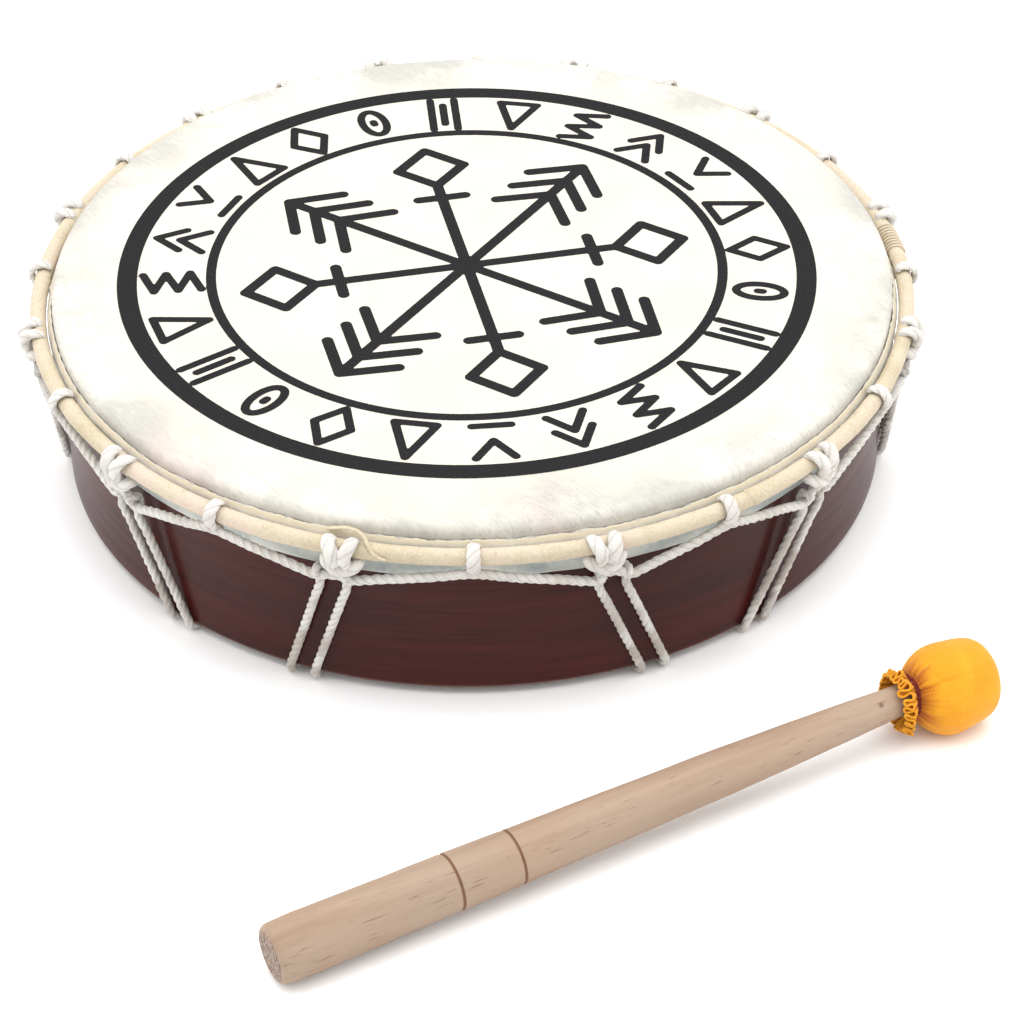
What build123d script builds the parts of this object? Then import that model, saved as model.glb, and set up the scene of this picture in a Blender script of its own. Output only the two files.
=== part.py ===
from build123d import *
import os
from math import acos, atan2, cos, degrees, radians, sin, tan

# Frame drum with its beater, in millimetres.
# The origin is on the drum's axis, at the surface that the drum stands on. +Z is up, out of the
# playing face, and -Y is the side where the beater lies. Angles are measured from +X towards +Y.

# ---- driving dimensions: drum --------------------------------------------------------------
HEAD_TOP = 91.4            # height of the playing face
FRAME_R = 187.8            # outer radius of the bent wooden shell
FRAME_WALL = 7.0
FRAME_SHOULDER = 4.0       # rounding of the outer top edge, under the hide
FRAME_EDGE_ROUND = 1.5     # rounding of the other three edges
HIDE_T = 0.8               # thickness of the hide
GAP = 0.05                 # clearance between pieces that touch
FOLD_BASE = 66.0           # lowest point of the fold in the hide
HIDE_EDGE_TOP = 86.5       # top of the cut edge, between the head and the hoop
HIDE_LAYER_PITCH = 1.8     # distance between the two layers of the fold

# ---- driving dimensions: hoop --------------------------------------------------------------
HOOP_R = 195.3             # radius of the hoop's centre line
HOOP_DROP = 10.2           # centre line below the playing face
HOOP_CORE_D = 6.2
HOOP_WRAP_T = 0.8
SPLICE_ANGLE = 9.5
SPLICE_SPAN = 5.0          # degrees of the hoop that the splice's binding covers
SPLICE_T = 0.8

# ---- driving dimensions: lacing ------------------------------------------------------------
CORD_D = 4.0
# Each group ties two stations together: (first station, second station, lean of the first,
# lean of the second), in degrees. A lean is how far the cords move round on their way down.
LACING_GROUPS = [
    (222.0, 254.1, 6.3, -6.3),
    (286.8, 317.6, 6.9, -7.9),
    (347.5, 15.7 + 360, 7.0, -7.0),
    (45.9, 75.1, 6.5, -6.0),
    (104.3, 133.5, 6.0, -6.5),
    (162.7, 191.4, 7.0, -6.5),
]
LEG_SPREAD = 1.7           # half of the angle between a station's two cords
KNOT_HALF_ANGLE = 1.25     # half of the angle between a knot's two lobes
# The girdle hangs under the hoop's outer side. (radius, height) of its centre line:
GIRDLE_LEG = (196.5, 62.5)     # where the tension cords pull it down
GIRDLE_KNOT = (197.5, 67.8)    # where a knot lifts it, between a station's two cords
GIRDLE_LOOP = (198.0, 73.6)    # where a loop carries it, halfway between two stations
GIRDLE_SPAN_SHARES = (1 / 3, 2 / 3)
KNOT_BODY_R = 197.5        # the wrap under the hoop that gathers a knot's two lobes
KNOT_BODY_Z = 73.0
KNOT_BODY_L = 16.0
KNOT_BODY_D = 6.0
KNOT_END_ROUND = 2.7
HOOK_TOP = 100.0           # angle round the hoop's section where a lobe or loop starts
LOBE_LEAVE = -30.0         # and where a lobe leaves the hoop
LOBE_TAIL = 6.0
LOOP_END = -110.0          # angle round the girdle's section where a loop ends
LOOP_ROOM = 0.9            # clearance of a loop round the girdle, which dips inside its corner
RUN_SHARE = 0.45           # share of its shorter run that an arc of the girdle takes

# ---- driving dimensions: ring at the back --------------------------------------------------
RING_R = 34.0
RING_BAR_D = 5.0
RING_CORD_PITCH = 8.6      # degrees between neighbouring cords on the ring
RING_HITCH_END = 30.0      # angle round the bar's section where a hitch ends

# ---- driving dimensions: beater ------------------------------------------------------------
BEATER_BUTT = (-75.2, -347.1)
BEATER_HEADING = 28.15     # direction of the stick, seen from above
BEATER_RISE = 1.25         # slope of the stick, from the butt up to the head
# (distance from the butt, radius) along the turned stick
STICK_PROFILE = [(4.0, 12.2), (14.0, 12.5), (77.0, 11.9), (104.0, 11.6), (200.0, 10.1),
                 (262.0, 8.1), (284.0, 7.2), (322.0, 6.6)]
STICK_FACE_R = 9.0
STICK_GROOVES = (77.0, 104.0)
GROOVE_W = 0.8
GROOVE_DEPTH = 0.45
GATHER_AT = 290.0          # where the cover is bound to the stick
HEAD_SWING = -3.5          # the soft head points a little away from the stick's direction
HEAD_SINK = -4.5
# (distance from the gather, radius) along the head, from the frill to the end
FRILL_PROFILE = [(-7.5, 13.6), (-4.5, 11.4), (-1.0, 8.3)]
COVER_PROFILE = [(1.0, 8.3), (3.6, 12.2), (8.0, 16.2), (14.3, 18.2), (23.5, 18.0), (32.3, 16.1)]
COVER_CORNER = (36.4, 12.2)
COVER_END = 38.4
CLOTH_T = 0.8
BINDING_D = 1.8
BINDING_PITCH = 1.0        # its turns press into each other
BINDING_TURNS = 3

# ---- what follows from them ----------------------------------------------------------------
CORD_R = CORD_D / 2
FRAME_BASE = CORD_D + GAP
HOOP_Z = HEAD_TOP - HOOP_DROP
HOOP_WRAP_R = HOOP_CORE_D / 2 + GAP + HOOP_WRAP_T
HOOP_CORD_R = HOOP_WRAP_R + GAP + CORD_R     # a cord's centre line round the hoop
HIDE_SIDE_R = FRAME_R + GAP + HIDE_T / 2
HIDE_OUTER_R = HIDE_SIDE_R + HIDE_LAYER_PITCH
CORD_ON_WOOD_R = FRAME_R + CORD_R + GAP
EDGE_BEND = FRAME_EDGE_ROUND + CORD_R
RING_Z = CORD_D + GAP + RING_BAR_D / 2
HITCH_R = RING_BAR_D / 2 + GAP + CORD_R
STATIONS = sorted(angle % 360 for group in LACING_GROUPS for angle in group[:2])


def next_station(i):
    """The station after this one, past 360 degrees after the last."""
    return STATIONS[(i + 1) % len(STATIONS)] + (360 if i == len(STATIONS) - 1 else 0)


def polar(radius, angle, z):
    """A point at this radius and angle round the drum's axis."""
    return Vector(radius * cos(radians(angle)), radius * sin(radians(angle)), z)


def tube(path, diameter):
    """A round cord or bar along a path whose runs and arcs are tangent."""
    return sweep(Plane(origin=path @ 0, z_dir=path % 0) * Circle(diameter / 2), path=path)


def turned_round(section):
    """A section drawn as (radius, height), turned all the way round the drum's axis."""
    return revolve(Plane.XZ * section, Axis.Z, 360)


def write(name, *solids):
    """Write one node: one solid, or several separate ones."""
    shape = solids[0] if len(solids) == 1 else Compound(children=list(solids))
    shape.label = name
    export_step(shape, f"parts/{name}.step")


# ---- drum ----------------------------------------------------------------------------------
def frame_shell():
    height = HEAD_TOP - HIDE_T - GAP - FRAME_BASE
    centre = (FRAME_R - FRAME_WALL / 2, FRAME_BASE + height / 2)
    section = Pos(*centre) * Rectangle(FRAME_WALL, height)
    outer_top = section.vertices().sort_by(lambda v: v.X + v.Y)[-1]
    others = [v for v in section.vertices() if v != outer_top]
    section = fillet(others, FRAME_EDGE_ROUND)
    corner = section.vertices().sort_by(lambda v: v.X + v.Y)[-1]
    section = fillet(corner, FRAME_SHOULDER)
    return turned_round(section)


def drum_head():
    """Hide over the frame, down its side, folded up again and cut off above the hoop."""
    top_z = HEAD_TOP - HIDE_T / 2
    shoulder = FRAME_SHOULDER + HIDE_T / 2
    fold = HIDE_LAYER_PITCH / 2
    fold_z = FOLD_BASE + HIDE_T / 2 + fold
    flat = Line((0, top_z), (HIDE_SIDE_R - shoulder, top_z))
    over = RadiusArc(flat @ 1, (HIDE_SIDE_R, top_z - shoulder), shoulder)
    side = Line(over @ 1, (HIDE_SIDE_R, fold_z))
    turn = ThreePointArc(side @ 1, (HIDE_SIDE_R + fold, fold_z - fold), (HIDE_OUTER_R, fold_z))
    outer = Line(turn @ 1, (HIDE_OUTER_R, HIDE_EDGE_TOP))
    section = trace(Wire([flat, over, side, turn, outer]), line_width=HIDE_T)
    return turned_round(section)


def head_hoop():
    return Pos(0, 0, HOOP_Z) * Torus(HOOP_R, HOOP_CORE_D / 2)


def hoop_wrap():
    """Strip of hide wound on the hoop."""
    inner = HOOP_CORE_D / 2 + GAP
    section = Pos(HOOP_R, HOOP_Z) * (Circle(HOOP_WRAP_R) - Circle(inner))
    return turned_round(section)


def hoop_splice_binding():
    """Ribbed binding over the joint of the hoop: a short sleeve with rounded turns."""
    inner = HOOP_WRAP_R + GAP
    section = Pos(HOOP_R, HOOP_Z) * (Circle(inner + SPLICE_T) - Circle(inner))
    sleeve = revolve(Plane.XZ * section, Axis.Z, SPLICE_SPAN)
    return Rot(0, 0, SPLICE_ANGLE - SPLICE_SPAN / 2) * sleeve


def in_section(centre, radius, angle):
    """A point round a circle in the XZ plane."""
    return (centre[0] + radius * cos(radians(angle)), 0, centre[1] + radius * sin(radians(angle)))


def arc_in_section(centre, radius, start, end):
    middle = (start + end) / 2
    return ThreePointArc(*[in_section(centre, radius, angle) for angle in (start, middle, end)])


def hoop_knot(angle):
    """Two lobes over the hoop, joined by the wrap under them that holds the girdle."""
    over = arc_in_section((HOOP_R, HOOP_Z), HOOP_CORD_R, HOOK_TOP, LOBE_LEAVE)
    tail = Line(over @ 1, over @ 1 + (over % 1) * LOBE_TAIL)
    lobe = tube(Wire([over, tail]), CORD_D)
    wrap = Rot(90, 0, 0) * Cylinder(KNOT_BODY_D / 2, KNOT_BODY_L)
    wrap = Pos(KNOT_BODY_R, 0, KNOT_BODY_Z) * fillet(wrap.edges(), KNOT_END_ROUND)
    knot = Rot(0, 0, KNOT_HALF_ANGLE) * lobe + Rot(0, 0, -KNOT_HALF_ANGLE) * lobe + wrap
    return Rot(0, 0, angle) * knot


def hoop_loop(angle):
    """Single turn of cord over the hoop and round the girdle, halfway between two stations."""
    hoop = (HOOP_R, HOOP_Z)
    girdle_r = CORD_D + LOOP_ROOM
    between = Vector(*GIRDLE_LOOP) - Vector(*hoop)
    heading = degrees(atan2(between.Y, between.X))
    side = heading + degrees(acos((HOOP_CORD_R - girdle_r) / between.length))
    over = arc_in_section(hoop, HOOP_CORD_R, HOOK_TOP, side)
    under = arc_in_section(GIRDLE_LOOP, girdle_r, side, LOOP_END)
    return Rot(0, 0, angle) * tube(Wire([over, Line(over @ 1, under @ 0), under]), CORD_D)


def girdle_cord():
    """Closed cord round the drum, pulled down at the stations and up between them."""
    points = []
    for i, station in enumerate(STATIONS):
        low = station + LEG_SPREAD
        high = (station + next_station(i)) / 2
        low_again = next_station(i) - LEG_SPREAD
        points.append(girdle_point(station, GIRDLE_KNOT))
        points.append(girdle_point(low, GIRDLE_LEG))
        points += [span_point(low, high, share) for share in GIRDLE_SPAN_SHARES]
        points.append(girdle_point(high, GIRDLE_LOOP))
        points += [span_point(low_again, high, share) for share in reversed(GIRDLE_SPAN_SHARES)]
        points.append(girdle_point(low_again, GIRDLE_LEG))
    path = FilletPolyline(*points, radius=corner_radii(points), close=True)
    return tube(path, CORD_D)


def girdle_point(angle, place):
    return polar(place[0], angle, place[1])


def span_point(low, high, share):
    """Point of the girdle between a station and the loop beside it."""
    radius, height = [a + (b - a) * share for a, b in zip(GIRDLE_LEG, GIRDLE_LOOP)]
    return polar(radius, low + (high - low) * share, height)


def corner_radii(points):
    """Largest arc at each corner of a closed route that leaves its runs a straight middle."""
    radii = []
    for i, point in enumerate(points):
        before = point - points[i - 1]
        after = points[(i + 1) % len(points)] - point
        turn = radians(before.get_angle(after))
        radii.append(RUN_SHARE * min(before.length, after.length) / tan(turn / 2))
    return radii


def tension_cord(top_angle, edge_angle, ring_angle):
    """One cord: down the side, under the edge, across the back and hitched on the ring."""
    top = polar(GIRDLE_LEG[0], top_angle, GIRDLE_LEG[1] - CORD_D - GAP)
    edge = polar(CORD_ON_WOOD_R, edge_angle, CORD_R)
    under_ring = polar(RING_R, ring_angle, CORD_R)
    outward = (edge - under_ring).normalized()
    up = Vector(0, 0, 1)
    bar = under_ring + up * HITCH_R
    hitch_end = bar + outward * HITCH_R * cos(radians(RING_HITCH_END))
    hitch_end += up * HITCH_R * sin(radians(RING_HITCH_END))
    run = FilletPolyline(top, edge, under_ring, radius=EDGE_BEND)
    hitch = ThreePointArc(under_ring, bar - outward * HITCH_R, hitch_end)
    return tube(Wire(run.edges() + hitch.edges()), CORD_D)


def tension_cords():
    """The twelve stations' pairs of cords, four cords to each group on the ring."""
    pairs = {}
    for first, second, first_lean, second_lean in LACING_GROUPS:
        middle = (first + first_lean + second + second_lean) / 2
        places = [(first, first_lean, -1.5), (second, second_lean, 0.5)]
        for station, lean, ring_place in places:
            cords = []
            for side, place in ((-1, ring_place), (1, ring_place + 1)):
                top = station + side * LEG_SPREAD
                on_ring = middle + place * RING_CORD_PITCH
                cords.append(tension_cord(top, top + lean, on_ring))
            pairs[station % 360] = cords
    return [pairs[station] for station in sorted(pairs)]


def hand_ring():
    return Pos(0, 0, RING_Z) * Torus(RING_R, RING_BAR_D / 2)


# ---- beater --------------------------------------------------------------------------------
def on_beater(shape):
    """Lay a piece that is modelled along +X, from the butt, where the beater lies."""
    height = STICK_PROFILE[1][1] / cos(radians(BEATER_RISE)) + GAP
    place = Pos(*BEATER_BUTT, height) * Rot(0, 0, BEATER_HEADING) * Rot(0, -BEATER_RISE, 0)
    return place * shape


def on_head(shape):
    """Turn a piece that is modelled from the gather to the soft head's own direction."""
    return Pos(GATHER_AT, 0, 0) * Rot(0, 0, HEAD_SWING) * Rot(0, -HEAD_SINK, 0) * shape


def turned(outline):
    """A closed outline above the X axis, turned round that axis."""
    return revolve(make_face(outline), Axis.X, 360)


def stick():
    end = STICK_PROFILE[-1][0]
    outline = Polyline((0, 0), (0, STICK_FACE_R), *STICK_PROFILE, (end, 0), close=True)
    blank = turned(outline)
    for place in STICK_GROOVES:
        radius = next(r for at, r in STICK_PROFILE if at == place)
        outer = Pos(place, 0, 0) * Rot(0, 90, 0) * Cylinder(radius + 1, GROOVE_W)
        inner = Pos(place, 0, 0) * Rot(0, 90, 0) * Cylinder(radius - GROOVE_DEPTH, GROOVE_W)
        blank -= outer - inner
    return blank


def head_curve(shrink=0.0):
    """The head's outline from the gather to its end on the axis, shrunk by a thickness."""
    side = Spline(*[(at, radius - shrink) for at, radius in COVER_PROFILE])
    corner = (COVER_CORNER[0] - shrink, COVER_CORNER[1] - shrink)
    end = Spline(side @ 1, corner, (COVER_END - shrink, 0),
                 tangents=[side % 1, Vector(0, -1)])
    return side, end


def beater_cover():
    side, end = head_curve()
    frill = Polyline(*FRILL_PROFILE, COVER_PROFILE[0])
    section = trace(frill.edges() + [side.edge(), end.edge()], line_width=CLOTH_T)
    return revolve(section, Axis.X, 360)


def beater_padding():
    side, end = head_curve(shrink=CLOTH_T + GAP)
    start = side @ 0
    closing = Polyline(end @ 1, (start.X, 0), start)
    return turned(Wire(closing.edges() + [side.edge(), end.edge()]))


def beater_binding():
    radius = FRILL_PROFILE[-1][1] + CLOTH_T / 2 + BINDING_D / 2 + GAP
    turns = []
    for i in range(BINDING_TURNS):
        offset = (i - (BINDING_TURNS - 1) / 2) * BINDING_PITCH
        turns.append(Pos(offset, 0, 0) * Rot(0, 90, 0) * Torus(radius, BINDING_D / 2))
    binding = turns[0]
    for turn in turns[1:]:
        binding += turn
    return binding


os.makedirs("parts", exist_ok=True)

write("frame_shell", frame_shell())
write("drum_head", drum_head())
write("head_hoop", head_hoop())
write("hoop_wrap", hoop_wrap())
write("hoop_splice_binding", hoop_splice_binding())
write("hoop_knots", *[hoop_knot(angle) for angle in STATIONS])
write("hoop_loops", *[hoop_loop((station + next_station(i)) / 2)
                     for i, station in enumerate(STATIONS)])
write("girdle_cord", girdle_cord())
for number, cords in enumerate(tension_cords(), start=1):
    write(f"tension_cords_{number:02d}", *cords)
write("hand_ring", hand_ring())

wood = stick()
padding = on_head(beater_padding()) - wood
write("beater_stick", on_beater(wood))
write("beater_padding", on_beater(padding))
write("beater_cover", on_beater(on_head(beater_cover())))
write("beater_binding", on_beater(on_head(beater_binding())))
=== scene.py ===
import math
import random

import bmesh
import bpy
import numpy as np
from mathutils import Matrix, Vector, noise


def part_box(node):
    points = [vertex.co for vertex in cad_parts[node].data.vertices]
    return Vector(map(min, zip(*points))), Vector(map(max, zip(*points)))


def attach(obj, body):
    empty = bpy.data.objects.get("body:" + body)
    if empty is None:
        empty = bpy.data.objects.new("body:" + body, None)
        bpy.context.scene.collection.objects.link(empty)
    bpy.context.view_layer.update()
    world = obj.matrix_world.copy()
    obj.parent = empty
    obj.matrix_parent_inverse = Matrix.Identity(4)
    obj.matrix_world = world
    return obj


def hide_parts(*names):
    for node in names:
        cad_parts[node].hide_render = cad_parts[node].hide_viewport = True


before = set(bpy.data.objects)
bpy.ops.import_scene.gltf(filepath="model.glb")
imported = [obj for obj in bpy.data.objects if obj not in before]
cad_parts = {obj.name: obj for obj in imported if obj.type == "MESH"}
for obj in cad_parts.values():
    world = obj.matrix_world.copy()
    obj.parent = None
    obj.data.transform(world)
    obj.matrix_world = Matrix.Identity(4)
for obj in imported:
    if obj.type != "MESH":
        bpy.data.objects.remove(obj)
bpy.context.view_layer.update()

MM = 0.001
FULL = 2 * math.pi

# ---- sizes read from the frame ---------------------------------------------------------------
FRAME_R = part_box("frame_shell")[1].x
FRAME_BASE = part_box("frame_shell")[0].z
FRAME_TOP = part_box("frame_shell")[1].z
HEAD_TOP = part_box("drum_head")[1].z
FOLD_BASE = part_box("drum_head")[0].z
WRAP_LOW, WRAP_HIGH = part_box("hoop_wrap")
WRAP_R = (WRAP_HIGH.z - WRAP_LOW.z) / 2
HOOP_Z = (WRAP_HIGH.z + WRAP_LOW.z) / 2
HOOP_R = WRAP_HIGH.x - WRAP_R
RING_LOW, RING_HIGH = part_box("hand_ring")
RING_BAR_R = (RING_HIGH.z - RING_LOW.z) / 2
RING_R = RING_HIGH.x - RING_BAR_R
RING_Z = (RING_HIGH.z + RING_LOW.z) / 2

# ---- the lacing: as in the CAD model, apart from the hide's edge, the girdle's height at the
# loops, and the two stations that KNOT_SHIFTS and LEG_SHIFTS move --------------------------------
CORD_R = 2.0 * MM
HIDE_T = 0.8 * MM
HIDE_SIDE_R = FRAME_R + HIDE_T / 2 + 0.05 * MM
HIDE_OUTER_R = HIDE_SIDE_R + 1.8 * MM
HIDE_EDGE_TOP = 84.7 * MM      # ragged, and a little lower than the CAD model's even edge
# (first station, second station, lean of the first, lean of the second) of each group, in degrees
LACING_GROUPS = [
    (222.0, 254.1, 6.3, -6.3),
    (286.8, 317.6, 6.9, -7.9),
    (347.5, 15.7 + 360, 7.0, -7.0),
    (45.9, 75.1, 6.5, -6.0),
    (104.3, 133.5, 6.0, -6.5),
    (162.7, 191.4, 7.0, -6.5),
]
STATIONS = sorted(angle % 360 for group in LACING_GROUPS for angle in group[:2])
LEG_SPREAD = 1.7
RING_CORD_PITCH = 8.6
# (radius, height) of the girdle at a tension cord, at a knot and at a loop
GIRDLE_LEG = (196.5 * MM, 62.5 * MM)
GIRDLE_KNOT = (197.5 * MM, 67.6 * MM)
GIRDLE_LOOP = (198.0 * MM, 74.6 * MM)
EDGE_R = FRAME_R + CORD_R + 0.05 * MM
# how far the two front stations are pulled out of place: knot in degrees, cords in degrees and height
KNOT_SHIFTS = {8: 0.75, 9: -0.8}
LEG_SHIFTS = {8: (-0.8, 2.9 * MM), 9: (0.55, 1.3 * MM)}

# ---- the beater: as in the CAD model, apart from the values from KNOT_AT to HEAD_SHIFT ----------
BEATER_BUTT = Vector((-75.2, -347.1, 12.55)) * MM
BEATER_HEADING = 28.15
BEATER_RISE = 1.25
STICK_PROFILE = [(4.0, 12.2), (14.0, 12.5), (77.0, 11.9), (104.0, 11.6), (200.0, 10.1),
                 (262.0, 8.1), (284.0, 7.2), (310.0, 6.8)]
STICK_FACE_R = 9.0
STICK_GROOVES = (77.0, 104.0)
GATHER_AT = 290.0
KNOT_AT = Vector((272.0, -4.6, 6.6)) * MM      # small dark knot in the wood, beside the cover
FLOOR_GAP = 0.15 * MM
SAG_ANGLE = 228.0      # where the stuffing sags, from the head's left side
SAG = 1.9
SLIMMER = 0.8          # the stick is thinner than the CAD model by this much at its head end
HEAD_SHIFT = -1.5      # the cover is drawn a little further down the stick
HEAD_SWING = -3.5
HEAD_SINK = -4.5

# ---- camera ----------------------------------------------------------------------------------
CAMERA_PLACE = Vector((0.0171, -1.1119, 0.8293))
CAMERA_PITCH = 38.352      # degrees below the horizon, looking along +Y
CAMERA_ROLL = -0.412
LENS = 103.77              # millimetres, on a sensor 36 mm wide


# ==== geometry helpers ========================================================================
def polar(radius, angle, z):
    """A point at this radius and angle in degrees round the drum's axis."""
    return Vector((radius * math.cos(math.radians(angle)), radius * math.sin(math.radians(angle)), z))


def arc_angle(length, radius):
    """Degrees that a length covers at this radius."""
    return math.degrees(length / radius)


def wobble(x, y=0.0, z=0.0):
    """Smooth repeatable noise, from about -1 to 1."""
    return noise.noise(Vector((x, y, z)))


def build(name, verts, faces, material, body, node=None, smooth=True, closed=True,
          place=None):
    """Make a piece from vertices and faces, give it a material and let it ride on a body.

    A closed piece's faces are all turned outwards. place is the matrix of a piece whose vertices
    are in a frame of its own.
    """
    mesh = bpy.data.meshes.new(name)
    mesh.from_pydata([tuple(v) for v in verts], [], faces)
    mesh.validate()
    if closed:
        shell = bmesh.new()
        shell.from_mesh(mesh)
        bmesh.ops.recalc_face_normals(shell, faces=shell.faces)
        if shell.calc_volume(signed=True) < 0:
            bmesh.ops.reverse_faces(shell, faces=shell.faces)
        shell.to_mesh(mesh)
        shell.free()
    mesh.update()
    if smooth:
        mesh.polygons.foreach_set("use_smooth", [True] * len(mesh.polygons))
    piece = bpy.data.objects.new(name, mesh)
    bpy.context.scene.collection.objects.link(piece)
    mesh.materials.append(material)
    if place is not None:
        piece.matrix_world = place
    return claim(piece, body, node)


def claim(piece, body, node=None):
    """Let the piece ride on its body and hide the CAD node that it stands for."""
    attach(piece, body)
    if node:
        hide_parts(*([node] if isinstance(node, str) else node))
    return piece


def grid_faces(rows, columns, close_rows=False, close_columns=True, offset=0):
    """Quads of a grid of vertices stored row by row."""
    faces = []
    for i in range(rows if close_rows else rows - 1):
        below = ((i + 1) % rows) * columns
        for j in range(columns if close_columns else columns - 1):
            k = (j + 1) % columns
            faces.append((offset + i * columns + j, offset + i * columns + k,
                          offset + below + k, offset + below + j))
    return faces


def through(points, step, closed=False):
    """Smooth curve through points of any dimension, as points about a step apart."""
    p = [np.array(q, float) for q in points]
    if closed:
        p = [p[-1], *p, p[0], p[1]]
    else:
        p = [2 * p[0] - p[1], *p, 2 * p[-1] - p[-2]]
    found = []
    for a, b, c, d in zip(p, p[1:], p[2:], p[3:]):
        t1 = max(np.linalg.norm(b - a), 1e-9) ** 0.5
        t2 = t1 + max(np.linalg.norm(c - b), 1e-9) ** 0.5
        t3 = t2 + max(np.linalg.norm(d - c), 1e-9) ** 0.5
        count = max(2, int(math.ceil(np.linalg.norm(c - b) / step)))
        for i in range(count):
            t = t1 + (t2 - t1) * i / count
            ab = a + (b - a) * t / t1
            bc = b + (c - b) * (t - t1) / (t2 - t1)
            cd = c + (d - c) * (t - t2) / (t3 - t2)
            abc = ab + (bc - ab) * t / t2
            bcd = bc + (cd - bc) * (t - t1) / (t3 - t1)
            found.append(abc + (bcd - abc) * (t - t1) / (t2 - t1))
    if not closed:
        found.append(p[-2])
    return found


def evenly(points, step, closed=False):
    """The same line, as points an equal step apart."""
    p = np.array([tuple(q) for q in points], float)
    if closed:
        p = np.vstack([p, p[:1]])
    lengths = np.r_[0, np.cumsum(np.linalg.norm(np.diff(p, axis=0), axis=1))]
    count = max(3, int(round(lengths[-1] / step)) + (0 if closed else 1))
    places = np.linspace(0, lengths[-1], count, endpoint=not closed)
    return np.c_[[np.interp(places, lengths, p[:, k]) for k in range(3)]].T, lengths[-1]


def travelling_frames(path, closed):
    """Two unit vectors across the path at each point, turning as little as possible."""
    after = np.roll(path, -1, axis=0)
    before = np.roll(path, 1, axis=0)
    if not closed:
        after[-1] = path[-1]
        before[0] = path[0]
    tangents = after - before
    tangents /= np.linalg.norm(tangents, axis=1)[:, None]
    side = np.cross(tangents[0], (0.0, 0.0, 1.0))
    if np.linalg.norm(side) < 1e-3:
        side = np.cross(tangents[0], (1.0, 0.0, 0.0))
    side /= np.linalg.norm(side)
    sides = [side]
    for tangent in tangents[1:]:
        side = side - tangent * np.dot(side, tangent)
        side /= np.linalg.norm(side)
        sides.append(side)
    sides = np.array(sides)
    others = np.cross(tangents, sides)
    if closed:
        gap = math.atan2(np.dot(sides[-1], others[0]), np.dot(sides[-1], sides[0]))
        turn = -gap * np.arange(len(path))[:, None] / len(path)
        sides, others = (sides * np.cos(turn) + others * np.sin(turn),
                         others * np.cos(turn) - sides * np.sin(turn))
    return sides, others


def cord_mesh(points, radius, closed=False, step=0.8 * MM, around=18, seed=0.0, pitch=12.5 * MM,
              strands=3, groove=0.30, fuzz=0.11, flatten=None):
    """Vertices, faces and UVs of a twisted cord. flatten(i, count) may give (wide, thick)."""
    path, length = evenly(points, step, closed)
    sides, others = travelling_frames(path, closed)
    turns = max(1, round(length / pitch)) if closed else length / pitch
    verts = []
    count = len(path)
    for i, centre in enumerate(path):
        share = i / count
        wide, thick = flatten(i, count) if flatten else (1.0, 1.0)
        for j in range(around):
            a = FULL * j / around
            slip = 0.9 * wobble(i * step / MM * 0.11 + seed, 3.3)
            lobe = abs(math.cos(strands / 2 * (a - FULL * turns * share - slip)))
            r = radius * (1 - groove + groove * lobe ** 0.8)
            r *= 1 + fuzz * wobble(i * step / MM * 0.4 + seed, 1.7 * math.cos(a), 1.7 * math.sin(a))
            verts.append(centre + sides[i] * (r * wide * math.cos(a))
                         + others[i] * (r * thick * math.sin(a)))
    faces = grid_faces(count, around, close_rows=closed)
    loops = [[(i / count * length / pitch, j / around) for i, j in cell]
             for cell in cells(count, around, closed)]
    if not closed:
        for row, direction in ((0, 1), (count - 1, -1)):
            tip = path[row] - direction * (path[row + direction] - path[row]) / step * radius * 0.45
            verts.append(tip)
            for j in range(around):
                ring = (row * around + j, row * around + (j + 1) % around)
                faces.append((len(verts) - 1, ring[1], ring[0]) if direction == 1
                             else (len(verts) - 1, ring[0], ring[1]))
                loops.append([(0, 0), (0, 0), (0, 0)])
    return verts, faces, loops


def cells(rows, columns, close_rows):
    """Row and column of each corner of the quads that grid_faces gives, without wrapping."""
    for i in range(rows if close_rows else rows - 1):
        for j in range(columns):
            yield (i, j), (i, j + 1), (i + 1, j + 1), (i + 1, j)


def cord_piece(name, strands, material, body, node, place=None):
    """One piece from several cord meshes."""
    verts, faces, loops = [], [], []
    for v, f, uv in strands:
        start = len(verts)
        verts += v
        faces += [tuple(start + k for k in face) for face in f]
        loops += uv
    piece = build(name, verts, faces, material, body, node, place=place)
    layer = piece.data.uv_layers.new(name="along")
    flat = [value for face in loops for corner in face for value in corner]
    layer.data.foreach_set("uv", flat)
    return piece


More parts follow.
